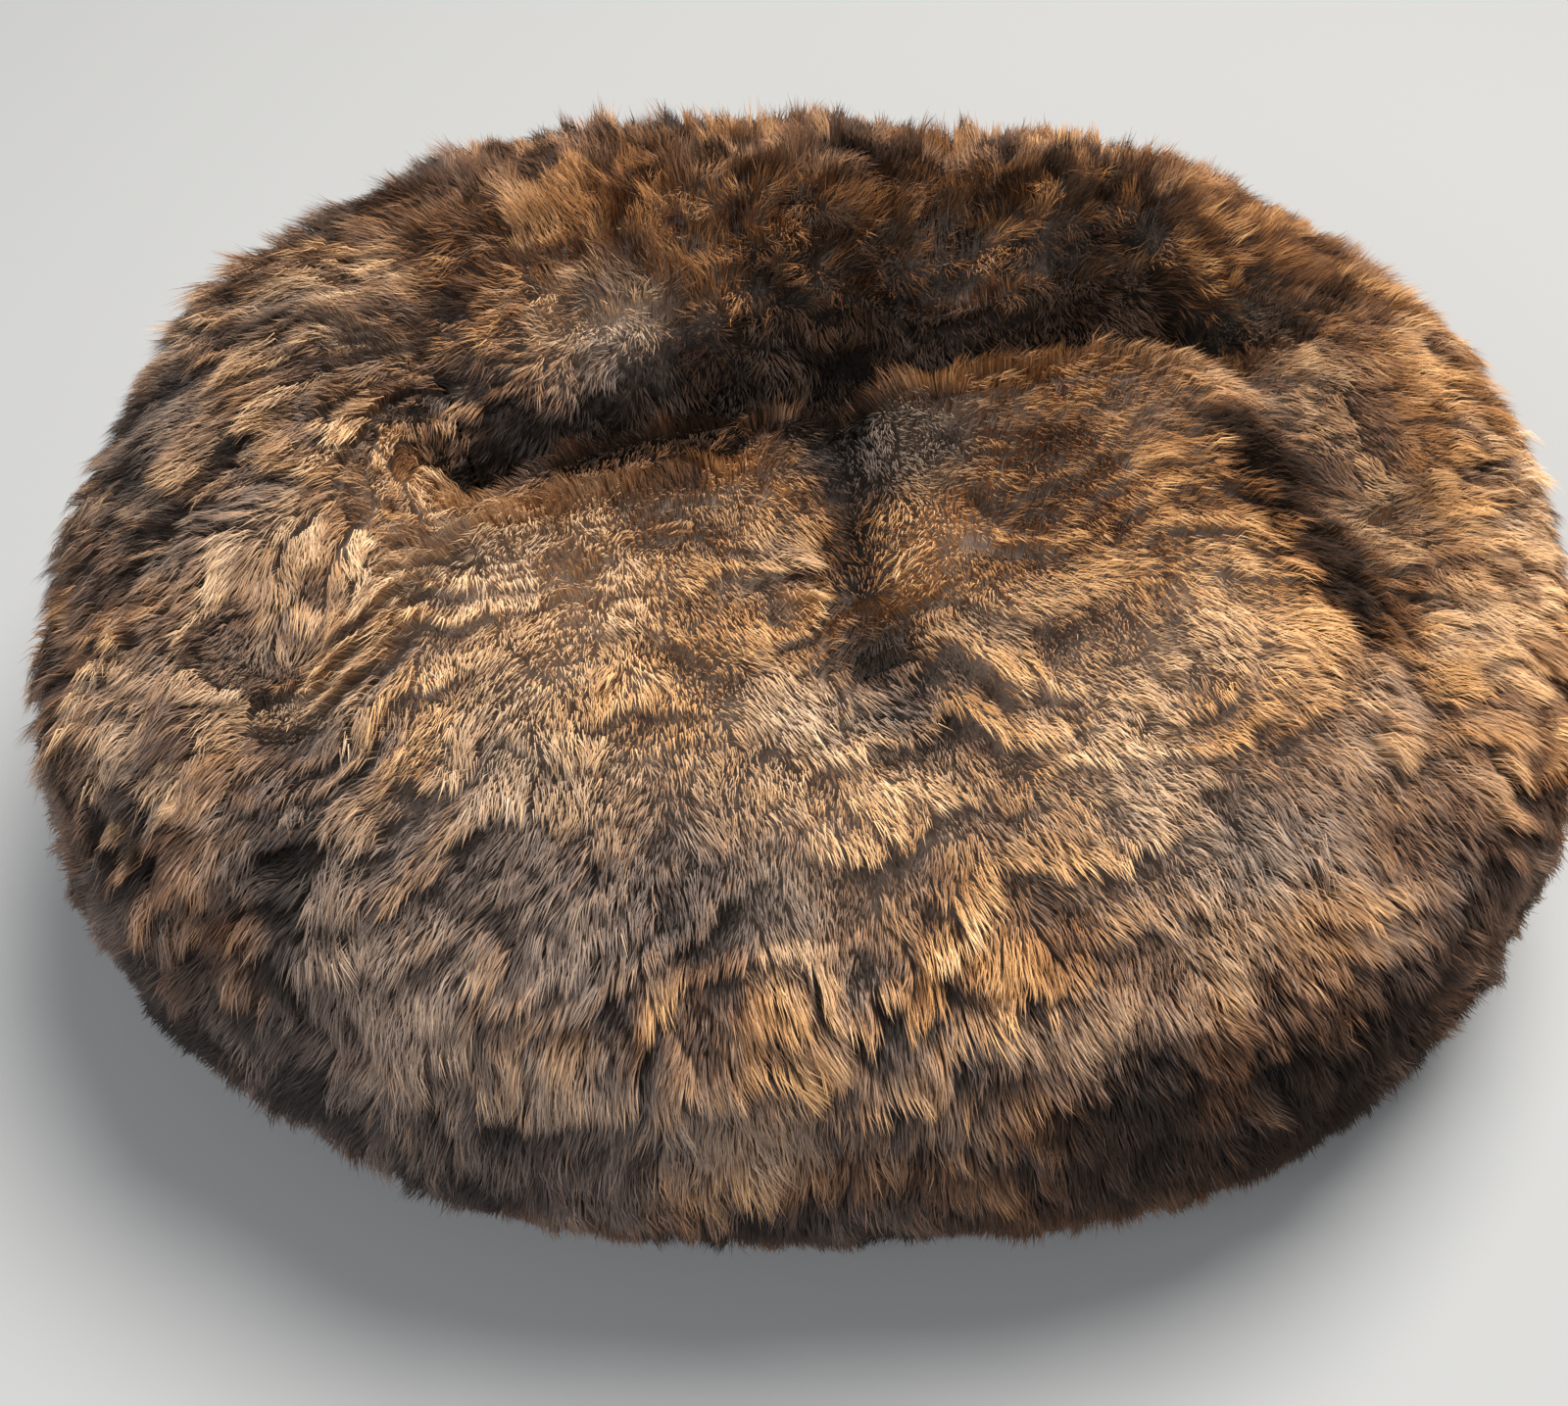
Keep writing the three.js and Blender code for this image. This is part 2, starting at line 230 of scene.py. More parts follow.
# ---------------------------------------------------------------- coat pattern
# patch: x, y, z of its middle, radius, tone (0 dark to 1 pale), warmth (0 grey-mauve to 1 golden), strength
PATCHES = [
    # wide zones
    (0, 62, 112, 46, .24, .85, .30),
    (-95, -10, 104, 46, .52, .25, .16),
    (105, 0, 104, 46, .68, .80, .16),
    (0, -60, 112, 60, .62, .62, .16),
    (0, -125, 55, 60, .30, .40, .16),
    (0, 125, 60, 70, .28, .60, .16),
    (-150, 30, 60, 60, .36, .25, .10),
    (150, 30, 60, 60, .42, .65, .10),
    # behind the crease
    (-33, 42, 118, 16, .48, 1.2, 1.0),
    (0, 42, 116, 14, .09, 1.4, 1.2),
    (33, 59, 112, 14, .32, 1.2, 1.0),
    (67, 51, 106, 13, .12, 1.4, 1.1),
    (78, 64, 108, 16, .30, 1.0, 1.0),
    (-67, 39, 113, 16, .43, .60, 1.0),
    (-42, 21, 114, 11, .80, .12, 1.6),
    (-92, 40, 107, 8, .78, .40, 1.6),
    (32, 37, 107, 6, .64, .70, 1.5),
    (42, 42, 108, 6, .58, .70, 1.3),
    (57, 40, 103, 8, .12, .80, 1.2),
    (86, 36, 102, 8, .25, .90, 1.0),
    (87, 19, 104, 8, .80, .45, 1.3),
    # near panel, upper part
    (-21, -3, 112, 8, .04, .80, 1.8),
    (-40, -8, 110, 7, .14, .80, 1.4),
    (18, -15, 116, 9, .42, .00, 1.4),
    (20, -35, 115, 10, .94, 1.3, 1.3),
    (17, -53, 114, 8, .32, .60, 1.2),
    (-6, -22, 116, 8, .80, .85, 1.3),
    (-31, -24, 117, 10, .64, .60, 1.0),
    (-44, -31, 117, 6, .42, .50, 1.0),
    (-52, -37, 117, 10, .80, .40, 1.0),
    (-42, -43, 114, 13, .94, .50, 1.0),
    (-74, -20, 107, 11, 1.15, .75, 1.5),
    (-83, -27, 109, 9, .78, .60, 1.2),
    (-64, -29, 112, 7, .52, .10, 1.0),
    (-79, -43, 108, 9, .74, .70, 1.1),
    (39, -29, 119, 14, .41, 1.35, 1.0),
    (59, -27, 118, 14, .43, 1.35, 1.0),
    (72, -38, 117, 12, .72, 1.1, 1.0),
    # near panel, middle and lower part
    (-57, -62, 113, 16, .73, .60, 1.0),
    (-32, -68, 113, 20, .75, .65, 1.0),
    (-4, -53, 116, 12, .72, .70, 1.0),
    (0, -74, 113, 10, .62, .30, 1.0),
    (4, -85, 109, 13, .96, .70, 1.3),
    (28, -53, 117, 10, .64, .80, 1.0),
    (44, -54, 118, 14, .60, .90, 1.0),
    (60, -63, 112, 22, .74, .60, 1.0),
    (20, -67, 113, 7, .36, .20, 1.2),
    (-18, -92, 106, 8, .42, .00, 1.1),
    (-2, -94, 106, 7, .40, .00, 1.1),
    (12, -93, 105, 7, .42, .00, 1.1),
    (-36, -82, 111, 7, .46, .05, 1.1),
    (-49, -80, 110, 9, .52, .15, 1.0),
    (-79, -71, 104, 10, .42, .00, 1.0),
    (72, -83, 105, 11, .46, .15, 1.1),
    (3, -102, 101, 11, .70, .20, 1.1),
    (-27, -106, 97, 14, .32, .15, 1.0),
    (-42, -101, 100, 13, .30, .10, 2.0),
    (-57, -107, 91, 18, .56, -.20, 1.0),
    (-22, -113, 90, 6, .76, .90, 1.5),
    (-38, -116, 82, 5, .74, .90, 1.5),
    (29, -106, 97, 5, .86, 1.0, 1.5),
    (40, -112, 88, 12, .46, .80, 0.8),
    (52, -111, 84, 7, .72, .70, 1.3),
    (67, -105, 87, 8, .68, .60, 1.3),
    (84, -99, 86, 8, .60, .60, 1.2),
    (100, -91, 84, 8, .58, .60, 1.0),
    # right end
    (121, 40, 99, 14, .58, .85, 1.0),
    (123, 12, 100, 14, .60, .80, 1.0),
    (134, 1, 93, 14, .74, .70, 1.0),
    (104, 41, 105, 12, .38, .95, 1.0),
    (118, -33, 103, 20, .85, .80, 1.0),
    (109, -70, 97, 22, .54, .45, 0.8),
    # left end
    (-107, 8, 107, 14, .46, .30, 1.0),
    (-120, 1, 102, 14, .42, .15, 1.0),
    (-119, 34, 100, 12, .54, .20, 1.0),
    (-123, -24, 100, 14, .43, .20, 1.0),
    (-124, -50, 94, 14, .48, .20, 1.0),
    (-103, -56, 102, 12, .55, .40, 1.0),
    (-95, -41, 104, 10, .60, .60, 1.0),
    (-100, -83, 91, 8, .56, .50, 1.0),
    (-116, -80, 80, 10, .38, .10, 1.0),
    # side band and the lower left; the darkest tones on the band's front and right are partly its dark brown fur and
    # partly painted shade of the underside below the overhanging crown
    (-67, -114, 66, 20, .18, -.30, 1.2),
    (-29, -121, 62, 22, .38, .05, 1.0),
    (-44, -118, 70, 7, .58, .10, 1.2),
    (20, -122, 60, 22, .32, .30, 1.0),
    (61, -114, 64, 16, .00, .50, 2.0),
    (84, -107, 62, 18, -.02, .50, 2.0),
    (107, -94, 56, 20, .05, .50, 1.6),
    (130, -70, 58, 24, .22, .50, 1.0),
    (-109, -94, 54, 22, .27, .00, 1.0),
    (-90, -102, 54, 14, .19, -.30, 1.2),
    (-87, -97, 85, 12, .25, -.20, 1.5),
    (-97, -96, 81, 6, .78, .60, 1.6),
    (-97, -100, 69, 5, .70, .60, 1.5),
]
# slits and partings in the pile, darkened as painted shade in the crease and folds, and one streak of dark hair on the
# right (the last): a plan segment, its half width, how much darker and how much lower the pile is there
SLITS = [
    (-60, -1, 73, 36, 6.5, .85, .35),
    (-62, -17, -16, -5, 3.0, .50, .35),
    (20, 37, 62, 52, 4.0, .30, .25),
    (3, 14, 8, -34, 5.5, .48, .12),
    (8, -34, 14, -64, 4.5, .30, .12),
    (85, -3, 98, -36, 9.5, 1.0, .15),
]

# grooming of the crown: place x, y, then the way the tips lie in plan (its length is how far the pile is laid over),
# how deep the pile breaks into ledges, how loosely it curls, and how long its laid-over ends are (0 short plush, 1 long)
GROOM = [
    (-55, -60, -.05, -.99, 1.0, .08, .25),
    (-25, -50, .24, -.97, 1.05, .08, .25),
    (5, -60, .38, -.92, 1.1, .08, .25),
    (50, -50, .55, -.83, .60, .08, .25),
    (75, -88, .54, -.84, .75, .08, .25),
    (0, -105, .24, -.97, 1.0, .08, .40),
    (-50, -105, -.25, -.97, .45, .08, .75),
    (-85, -60, -.22, -.97, .50, .10, .75),
    (-105, -75, -.36, -.93, .50, .12, .80),
    (-115, -30, -.44, -.90, .50, .14, .80),
    (-105, 20, -.52, -.85, .50, .18, .80),
    (-85, 55, -.62, -.66, .50, .24, .80),
    (-75, 0, -.48, -.84, .50, .14, .80),
    (-52, 12, -.55, -.65, .45, .18, .25),
    (100, -25, .74, -.67, .60, .10, .50),
    (120, -30, .76, -.65, .60, .12, .50),
    (115, 25, .82, -.56, .60, .14, .50),
    (85, 15, .80, -.52, .50, .14, .25),
    (95, 60, .65, .40, .50, .20, .75),
    (110, -70, .62, -.78, .60, .10, .50),
    (-45, -20, -.05, -.85, .50, .12, .25),
    (0, -6, .15, -.85, .50, .12, .25),
    (50, 8, .40, -.80, .50, .12, .25),
    (-30, 25, -.10, -.70, .40, .40, .25),
    (10, 38, .0, -.70, .40, .42, .25),
    (45, 50, .12, -.66, .40, .40, .25),
    (-40, 60, -.35, -.10, .40, .48, .25),
    (5, 68, .0, -.15, .40, .50, .25),
    (50, 75, .30, .0, .40, .46, .25),
    (-55, 92, -.45, .70, .45, .36, .25),
    (0, 104, .0, .85, .45, .36, .25),
    (60, 96, .45, .75, .45, .34, .25),
]
# grooming of the side band: degrees round the hat, and how far the tips swing along it from straight down
BAND_GROOM = [(0, 12), (45, -8), (90, 6), (135, 10), (180, -14), (215, -30), (240, -20), (262, -4), (285, 12), (310, 20), (335, 22)]

# fur piece: hairs, turn of its tufts from the run of the panel, their length and width, how far they gather at their tips,
# how far tone changes from tuft to tuft, and how much paler than its chart the piece is
COATS = {
    "crown_near": dict(hairs=98000, turn=16, tuft=(8, 7), gather=.14, streak=.12, lift=.00),
    "crown_far": dict(hairs=80000, turn=0, tuft=(6.5, 5.5), gather=.42, streak=.48, lift=-.05),
    "crown_left": dict(hairs=57000, turn=54, tuft=(14, 4.5), gather=.36, streak=.60, lift=-.05),
    "crown_right": dict(hairs=46000, turn=-38, tuft=(10, 4.5), gather=.30, streak=.46, lift=-.09),
    "band_front": dict(hairs=94000, turn=0, tuft=(12, 7), gather=.27, streak=.25, lift=-.02),
    "band_back": dict(hairs=90000, turn=0, tuft=(12, 7), gather=.27, streak=.25, lift=-.02),
}
LEAN = (13.0, 55.0)      # lean of short plush from upright, at the root and at the tip, in degrees


def coat_at(p):
    wt, ww, total = np.full(len(p), .45 * .02), np.full(len(p), .5 * .02), np.full(len(p), .02)
    for x, y, z, r, t, w, strong in PATCHES:
        k = strong * np.exp(-(((p[:, 0] - x) ** 2 + (p[:, 1] - y) ** 2 + (p[:, 2] - z) ** 2) / (r * r)))
        wt, ww, total = wt + k * t, ww + k * w, total + k
    return wt / total, ww / total


def slit_at(p):
    shade_and_dark_hair, low = np.zeros(len(p)), np.zeros(len(p))
    for x0, y0, x1, y1, half, darker, lower in SLITS:
        dx, dy = x1 - x0, y1 - y0
        k = np.clip(((p[:, 0] - x0) * dx + (p[:, 1] - y0) * dy) / (dx * dx + dy * dy), 0, 1)
        away = np.hypot(p[:, 0] - x0 - k * dx, p[:, 1] - y0 - k * dy) + 2.2 * noise(p, 9, 51)
        near = np.exp(-((away / half) ** 2)) * (p[:, 2] > 70)
        shade_and_dark_hair, low = np.maximum(shade_and_dark_hair, near * darker), np.maximum(low, near * lower)
    return shade_and_dark_hair, low


def crown_groom(p, n, t, b):
    total = np.full(len(p), 1e-6)
    way, step, curl, lay = np.zeros((len(p), 3)), np.zeros(len(p)), np.zeros(len(p)), np.zeros(len(p))
    for x, y, dx, dy, ledge, loose, long in GROOM:
        k = np.exp(-((p[:, 0] - x) ** 2 + (p[:, 1] - y) ** 2) / 22.0 ** 2)
        way += k[:, None] * np.array([dx, dy, -.4 * math.hypot(dx, dy)])
        step, curl, lay, total = step + k * ledge, curl + k * loose, lay + k * long, total + k
    way = way / total[:, None]
    lean = np.clip(np.hypot(way[:, 0], way[:, 1]), 0.12, 1.0)
    return unit(way - n * (way * n).sum(-1, keepdims=True)), lean, step / total, curl / total, lay / total


def band_groom(p, n, t, b):
    deg = np.degrees(np.arctan2(p[:, 1], p[:, 0])) % 360
    at = np.array([k for k, _ in BAND_GROOM] + [360.0])
    swing = np.array([k for _, k in BAND_GROOM] + [BAND_GROOM[0][1]], float)
    a = np.radians(np.interp(deg, at, swing)) * smooth(5, 40, p[:, 2])
    flow = t * np.cos(a)[:, None] + b * np.sin(a)[:, None]
    return flow, np.full(len(p), 1.0), np.full(len(p), .5), np.full(len(p), .1), np.full(len(p), .6)


# ---------------------------------------------------------------- meshes
def mesh_object(name, points, faces, uv=None, floats=None, smooth_faces=True):
    """A mesh from arrays: points in millimetres, faces as a list of (n, k) index arrays."""
    me = bpy.data.meshes.new(name)
    loops = np.concatenate([f.ravel() for f in faces]).astype(np.int32)
    sizes = np.concatenate([np.full(len(f), f.shape[1], np.int32) for f in faces])
    starts = np.concatenate([[0], np.cumsum(sizes)[:-1]]).astype(np.int32)
    me.vertices.add(len(points))
    me.vertices.foreach_set("co", (points * MM).astype(np.float32).ravel())
    me.loops.add(len(loops))
    me.loops.foreach_set("vertex_index", loops)
    me.polygons.add(len(sizes))
    me.polygons.foreach_set("loop_start", starts)
    me.polygons.foreach_set("loop_total", sizes)
    me.polygons.foreach_set("use_smooth", np.full(len(sizes), smooth_faces))
    me.update(calc_edges=True)
    if uv is not None:
        layer = me.uv_layers.new(name="OFBake")
        layer.data.foreach_set("uv", uv[loops].astype(np.float32).ravel())
    for key, values in (floats or {}).items():
        me.attributes.new(key, "FLOAT", "POINT").data.foreach_set("value", values.astype(np.float32))
    ob = bpy.data.objects.new(name, me)
    bpy.context.scene.collection.objects.link(ob)
    return ob


def unit(v):
    return v / np.maximum(np.linalg.norm(v, axis=-1, keepdims=True), 1e-9)


class Pelt:
    """A fine grid over the fur's outer form, sampled for roots with their own directions."""

    def __init__(self, points):
        self.p = points
        down, across = np.gradient(points, axis=0), np.gradient(points, axis=1)
        across[0] = across[1]
        n = unit(np.cross(down, across))
        middle = np.array([0.0, 0.0, 40.0])
        if ((points - middle) * n).sum() < 0:
            n = -n
        self.n, self.t = n, unit(down)
        self.b = unit(np.cross(self.n, self.t))
        steps = np.linalg.norm(np.diff(points, axis=0), axis=-1)
        self.s = np.concatenate([np.zeros((1, points.shape[1])), np.cumsum(steps, 0)])
        wide = np.linalg.norm(np.diff(points, axis=1), axis=-1)
        c = np.concatenate([np.zeros((points.shape[0], 1)), np.cumsum(wide, 1)], 1)
        self.c = c - c[:, c.shape[1] // 2][:, None]
        d1, d2 = points[1:, 1:] - points[:-1, :-1], points[1:, :-1] - points[:-1, 1:]
        self.area = np.linalg.norm(np.cross(d1, d2), axis=-1) / 2

    def sample(self, count, rng, weight=None):
        w = self.area if weight is None else self.area * weight
        cum = np.cumsum(w.ravel())
        # evenly stepped with jitter, so that the roots are spread without bare spots
        pick = (np.arange(count) + rng.random(count)) / count * cum[-1]
        cell = np.minimum(np.searchsorted(cum, pick), len(cum) - 1)
        i, j = np.divmod(cell, w.shape[1])
        a, b = rng.random(count), rng.random(count)

        def at(grid):
            g = grid if grid.ndim == 3 else grid[..., None]
            out = (g[i, j] * ((1 - a) * (1 - b))[:, None] + g[i + 1, j] * (a * (1 - b))[:, None]
                   + g[i, j + 1] * ((1 - a) * b)[:, None] + g[i + 1, j + 1] * (a * b)[:, None])
            return out if grid.ndim == 3 else out[:, 0]

        return at(self.p), unit(at(self.n)), unit(at(self.t)), unit(at(self.b)), at(self.s), at(self.c)


def comb(name, pelt, coat, seed, groom, weight=None):
    """Hairs over a pelt: each a slim bent kite rooted in the underfur, gathered with its neighbours into wisps and tufts."""
    rng = np.random.default_rng(seed)
    count = coat["hairs"] // 1
    thick = 1.0
    p, n, t, b, s, c = pelt.sample(count, rng, weight)
    flow, lean, step, curl, lay = groom(p, n, t, b)
    lay = lay * 0.7
    turn = math.radians(coat["turn"])
    s1, c1 = s * math.cos(turn) + c * math.sin(turn), c * math.cos(turn) - s * math.sin(turn)
    big, mid, small = noise(p, 30, 11), noise(p, 12, 12), noise(p, 5, 13)
    ts, tc, r1, r2, r3 = tufts(s1 + 2 * mid, c1 + 3 * noise(p, 14, seed + 3), coat["tuft"][0], coat["tuft"][1], seed + 5)
    ws, wc, q1, q2, q3 = tufts(s1, c1 + 0.6 * small, 2.1, 1.35, seed + 6)

    # ledges: the pile breaks into overlapping steps, with a gap below each; the tone drops in each gap, partly as the
    # pile's darker under-layer and partly as painted shade under the ledge
    phase = s1 / 12.0 + 0.80 * noise(p, 24, 21) + 0.28 * noise(p, 9, 22) + 0.38 * r1
    saw = phase - np.floor(phase)
    saw = np.where(saw < 0.9, saw / 0.9, (1 - saw) / 0.1)
    deep = np.clip(0.7 + 0.8 * noise(p, 19, 23), 0.1, 1.35) * step
    # and into small nicks, a few millimetres wide, likewise darker in their gaps, partly the pile's own colour and
    # partly painted shade
    nick = s1 / 5.0 + 0.9 * noise(p, 5, 25) + 0.4 * noise(p, 12, 26)
    nick = nick - np.floor(nick)
    nick = np.where(nick < 0.85, nick / 0.85, (1 - nick) / 0.15)
    fine = 0.42 * np.clip(0.5 + noise(p, 9, 27), 0.0, 1.2)
    rise = 1.0 + deep * (saw - 0.66) + 0.16 * (r2 - 0.5) + 0.10 * (q1 - 0.5) + fine * (nick - 0.6) + 0.08 * mid + 0.10 * small + 0.10 * (rng.random(count) - 0.5)
    guard = rng.random(count) < 0.012
    # the slits' darkening: painted shade in the crease and folds, and the dark hair streak on the right
    shade_and_dark_hair, lower = slit_at(p + flow * (6 * lean)[:, None])
    rise = np.clip(rise + 0.14 * guard - lower, 0.3, 1.45)

    a = np.radians(18 * (r3 - 0.5) + 12 * mid + 10 * small + 9 * (q3 - 0.5) + 6 * rng.standard_normal(count) + 70 * curl * noise(p, 8, 24))
    side = np.cross(n, flow)
    flow, side = (flow * np.cos(a)[:, None] + side * np.sin(a)[:, None]), (side * np.cos(a)[:, None] - flow * np.sin(a)[:, None])
    lean0 = np.radians(LEAN[0] + 14 * lay + 8 * (r1 - 0.5) + 6 * small) * lean
    lean1 = np.radians(np.clip(LEAN[1] + 9 * lay + 16 * (r2 - 0.5) + 8 * mid + 7 * rng.standard_normal(count), 8, 84)) * lean
    low = 0.74 - 0.24 * lay
    height = PILE * rise
    length = np.minimum(height / (low * np.cos(lean0) + (1 - low) * np.cos(lean1) + 0.03), 15.0)

    root = p - n * PILE
    d0 = n * np.cos(lean0)[:, None] + flow * np.sin(lean0)[:, None]
    d1 = n * np.cos(lean1)[:, None] + flow * np.sin(lean1)[:, None]
    middle = root + d0 * (length * low)[:, None]
    tip = middle + d1 * (length * (1 - low))[:, None]
    pull = (side * tc[:, None] + 0.35 * flow * ts[:, None]) * coat["gather"] + side * (wc * 0.32)[:, None] + flow * (ws * 0.15)[:, None]
    loose = curl * length
    sway = np.stack([noise(p, 6, 31 + k) for k in range(3)], -1) * 0.6 + rng.standard_normal((count, 3)) * 0.22
    middle = middle + pull * 0.35 + sway * (loose * 0.25)[:, None]
    tip = tip + pull + sway * loose[:, None]

    wide = (0.075 + 0.060 * rng.random(count)) * thick * np.where(guard, 0.7, 1.0)
    roll = np.radians(22) * rng.standard_normal(count)
    along = unit(tip - root)
    up = unit(n - along * (n * along).sum(-1, keepdims=True))
    over = np.cross(along, up) * np.cos(roll)[:, None] + up * np.sin(roll)[:, None]
    pts = np.stack([root, middle - over * wide[:, None], tip, middle + over * wide[:, None]], 1)
    pts[..., 2] = np.maximum(pts[..., 2], 0.25)

    tone, warm = coat_at(p + flow * 5)
    tone = tone + coat["lift"] + 0.07 * big + 0.08 * mid + 0.05 * small + coat["streak"] * (r3 - 0.5) + 0.06 * (q2 - 0.5) + 0.05 * rng.standard_normal(count)
    # the tone falls toward the floor below 70 mm as painted shade under the overhanging crown
    tone = tone + 0.46 * deep * (saw - 0.62) + 0.34 * fine * (nick - 0.6) - 0.20 * (1 - smooth(20, 70, p[:, 2])) + 0.12 * guard - shade_and_dark_hair
    tone = np.clip(tone, 0.02, 0.98)
    warm = warm + 0.22 * noise(p, 15, 41) + 0.16 * (q3 - 0.5) + 0.90 * deep * (saw - 0.55) + 0.10 * rng.standard_normal(count)
    warm = np.clip(np.round(warm * 3), 0, 3) / 3

    u = 0.02 + 0.96 * tone
    up_hair = np.array([0.0, 0.5, 1.0, 0.5])
    uv = np.zeros((count, 4, 2))
    uv[..., 0] = np.clip(u[:, None] + np.array([0, -1, 0, 1]) * 0.006, 0.001, 0.999)
    uv[..., 1] = 0.012 + 0.224 * up_hair[None, :] + 0.75 * warm[:, None]
    base = np.arange(count)[:, None] * 4
    faces = np.concatenate([base + np.array([0, 1, 3]), base + np.array([1, 2, 3])])
    return mesh_object("fur_" + name, pts.reshape(-1, 3), [faces], uv.reshape(-1, 2),
                       {"tone": np.repeat(u, 4), "along": np.tile(up_hair, count), "warm": np.repeat(warm, 4)})


def shell_object(name, outer, inner, closed=False):
    """A closed wall between two grids of points. Attribute skin is 1 on its inner face."""
    rows, cols = outer.shape[:2]
    a = np.arange(rows * cols).reshape(rows, cols)
    z = a + rows * cols
    if closed:
        a2, z2 = np.concatenate([a, a[:, :1]], 1), np.concatenate([z, z[:, :1]], 1)
    else:
        a2, z2 = a, z

    def quads(g):
        return np.stack([g[:-1, :-1], g[1:, :-1], g[1:, 1:], g[:-1, 1:]], -1).reshape(-1, 4)

    faces = [quads(a2), quads(z2)[:, ::-1]]

    def strip(x, y):
        return np.stack([x[:-1], x[1:], y[1:], y[:-1]], -1)

    faces += [strip(a2[0], z2[0]), strip(a2[-1], z2[-1])[:, ::-1]]
    if not closed:
        faces += [strip(a2[:, 0], z2[:, 0])[:, ::-1], strip(a2[:, -1], z2[:, -1])]
    pts = np.concatenate([outer.reshape(-1, 3), inner.reshape(-1, 3)])
    skin = np.concatenate([np.zeros(rows * cols), np.ones(rows * cols)])
    # besides the coat's chart, the underfur tone takes the slits' painted shade in the crease and folds
    tone = np.clip(coat_at(pts)[0] - slit_at(pts)[0], 0, 1)
    ob = mesh_object(name, pts, faces, floats={"skin": skin, "tone": tone})
    me = ob.data
    vol = 0.0
    co = np.zeros(len(me.vertices) * 3, np.float32)
    me.vertices.foreach_get("co", co)
    co = co.reshape(-1, 3).astype(np.float64)
    for f in faces:
        vol += (co[f[:, 0]] * np.cross(co[f[:, 1]], co[f[:, 2]])).sum()
    if vol < 0:
        me.flip_normals()
    return ob


# ---------------------------------------------------------------- materials
def new_material(name):
    m = bpy.data.materials.new(name)
    m.use_nodes = True
    nodes, links = m.node_tree.nodes, m.node_tree.links
    bsdf = next(k for k in nodes if k.type == "BSDF_PRINCIPLED")
    return m, nodes, links, bsdf


def ramp(nodes, stops):
    r = nodes.new("ShaderNodeValToRGB")
    e = r.color_ramp.elements
    e[0].position, e[0].color = stops[0][0], (*stops[0][1], 1)
    e[1].position, e[1].color = stops[-1][0], (*stops[-1][1], 1)
    for at, colour in stops[1:-1]:
        k = e.new(at)
        k.color = (*colour, 1)
    return r


# tip colours by tone, grey-mauve hairs and golden hairs
COOL_TIPS = [(0.0, (.010, .0085, .008)), (0.2, (.050, .039, .035)), (0.4, (.150, .112, .095)), (0.6, (.275, .200, .150)),
             (0.8, (.440, .320, .225)), (1.0, (.680, .520, .370))]
WARM_TIPS = [(0.0, (.013, .007, .004)), (0.2, (.076, .031, .012)), (0.4, (.205, .088, .031)), (0.6, (.400, .205, .082)),
             (0.8, (.600, .350, .155)), (1.0, (.760, .510, .290))]
COOL_ROOTS = [(0.0, (.006, .005, .005)), (0.4, (.066, .053, .048)), (0.7, (.170, .130, .105)), (1.0, (.330, .255, .205))]
WARM_ROOTS = [(0.0, (.006, .004, .003)), (0.4, (.052, .029, .017)), (0.7, (.160, .095, .056)), (1.0, (.320, .205, .130))]


def fur_material(name):
    m, nodes, links, bsdf = new_material(name)

    def attribute(key):
        k = nodes.new("ShaderNodeAttribute")
        k.attribute_name = key
        return k.outputs["Fac"]

    tone, along, warm = attribute("tone"), attribute("along"), attribute("warm")

    def pick(cool, hot):
        a, b = ramp(nodes, cool), ramp(nodes, hot)
        links.new(tone, a.inputs["Fac"])
        links.new(tone, b.inputs["Fac"])
        mix = nodes.new("ShaderNodeMix")
        mix.data_type = "RGBA"
        links.new(warm, mix.inputs["Factor"])
        links.new(a.outputs["Color"], mix.inputs["A"])
        links.new(b.outputs["Color"], mix.inputs["B"])
        return mix.outputs["Result"]

    fade = nodes.new("ShaderNodeMapRange")
    fade.interpolation_type = "SMOOTHSTEP"
    fade.inputs["From Min"].default_value = 0.02
    fade.inputs["From Max"].default_value = 0.46
    links.new(along, fade.inputs["Value"])
    mix = nodes.new("ShaderNodeMix")
    mix.data_type = "RGBA"
    links.new(fade.outputs["Result"], mix.inputs["Factor"])
    links.new(pick(COOL_ROOTS, WARM_ROOTS), mix.inputs["A"])
    links.new(pick(COOL_TIPS, WARM_TIPS), mix.inputs["B"])
    links.new(mix.outputs["Result"], bsdf.inputs["Base Color"])
    bsdf.inputs["Roughness"].default_value = 0.62
    bsdf.inputs["Specular IOR Level"].default_value = 0.14
    bsdf.inputs["Sheen Weight"].default_value = 0.05
    bsdf.inputs["Sheen Roughness"].default_value = 0.45
    bsdf.inputs["Sheen Tint"].default_value = (1.0, 0.86, 0.7, 1)
    return m


